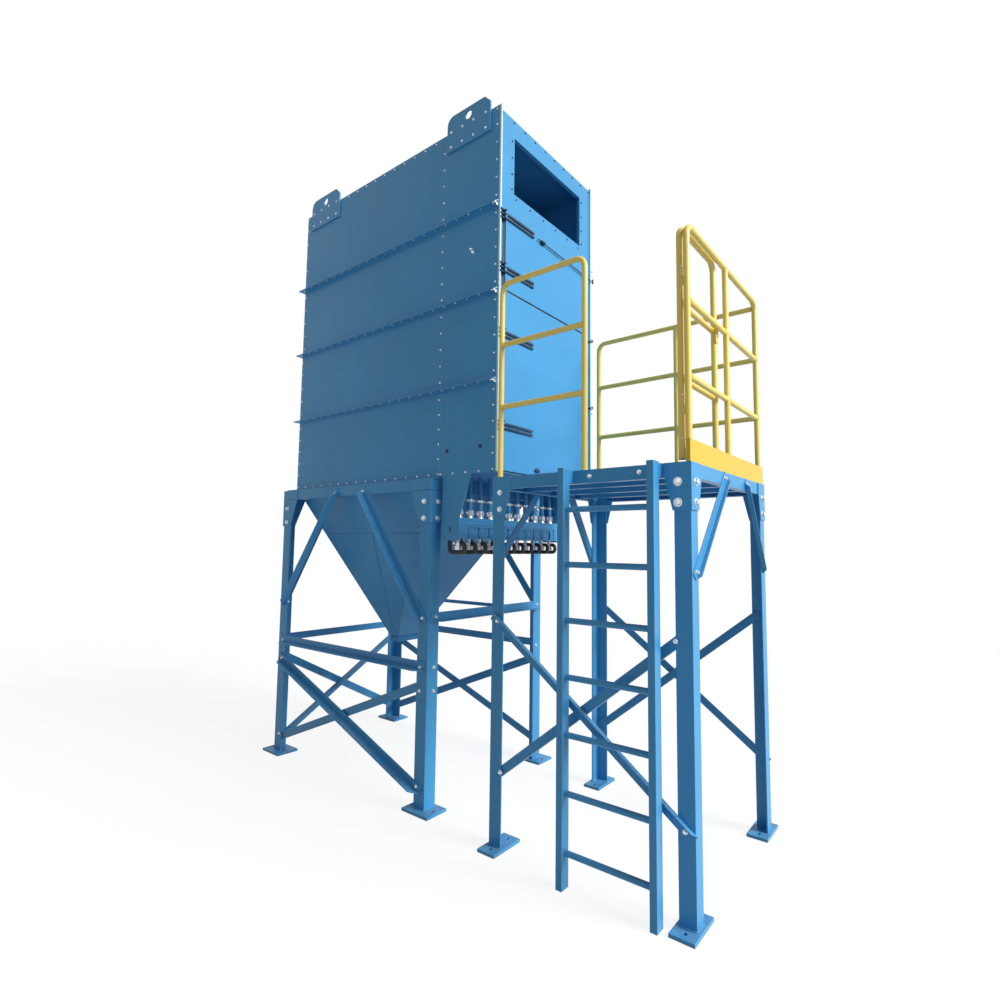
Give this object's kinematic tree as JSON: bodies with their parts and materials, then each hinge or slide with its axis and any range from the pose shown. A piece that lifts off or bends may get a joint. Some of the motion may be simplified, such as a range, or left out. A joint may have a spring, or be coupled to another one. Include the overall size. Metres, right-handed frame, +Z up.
{
  "type": "baghouse dust collector",
  "caption": "Blue baghouse dust collector on a braced stand, with tiered housing, pyramid hopper, pulse air header, hinged access doors, and yellow-railed platform with ladder and gate.",
  "frame": {"origin": "centre of the footprint of the whole assembly, at ground level", "axes": "+X from the filter chamber to the access platform, +Y from the ladder side to the back, +Z up"},
  "size_m": [3.793, 1.51, 4.843],
  "materials": {
    "steel_blue": "satin blue paint",
    "safety_yellow": "gloss yellow paint",
    "black_rubber": "matt",
    "zinc_steel": "zinc plated"
  },
  "bodies": {
    "collector": {"stand_legs": "steel_blue", "stand_beams": "steel_blue", "stand_gussets": "steel_blue", "stand_front_braces": "steel_blue", "stand_back_braces": "steel_blue", "stand_end_braces": "steel_blue", "hopper_front_plate": "steel_blue", "hopper_right_plate": "steel_blue", "hopper_back_plate": "steel_blue", "hopper_left_plate": "steel_blue", "hopper_rim": "steel_blue", "hopper_collar": "steel_blue", "filter_front_wall": "steel_blue", "filter_back_wall": "steel_blue", "filter_end_wall": "steel_blue", "plenum_front_wall": "steel_blue", "plenum_back_wall": "steel_blue", "plenum_floor": "steel_blue", "cell_plate": "steel_blue", "roof": "steel_blue", "end_wall_top": "steel_blue", "end_wall_posts": "steel_blue", "end_wall_rails": "steel_blue", "corner_flanges": "steel_blue", "door_hinges": "steel_blue", "upper_access_door": "steel_blue", "lifting_lugs": "steel_blue", "header_brackets": "steel_blue", "header_tank": "steel_blue", "blow_pipes": "steel_blue", "header_fittings": "zinc_steel", "header_hoses": "black_rubber", "platform_legs": "steel_blue", "platform_beams": "steel_blue", "platform_gussets": "steel_blue", "platform_crosses": "steel_blue", "platform_knees": "steel_blue", "deck_bearers": "steel_blue", "deck_planks": "steel_blue", "ladder": "steel_blue", "rail_front": "safety_yellow", "rail_side": "safety_yellow", "rail_back": "safety_yellow", "toe_board": "safety_yellow"},
    "gate_leaf": {"gate": "safety_yellow"},
    "lower_door_leaf": {"lower_access_door": "steel_blue"}
  },
  "joints": [
    {"name": "gate_hinge", "type": "hinge", "parent": "collector", "child": "gate_leaf", "pos_m": [1.8202, -0.614, 2.25], "axis": [0, 0, 1], "range_deg": [0, 90]},
    {"name": "lower_door_hinge", "type": "hinge", "parent": "collector", "child": "lower_door_leaf", "pos_m": [0.5735, -0.503, 2.535], "axis": [0, 0, -1], "range_deg": [0, 90]}
  ]
}
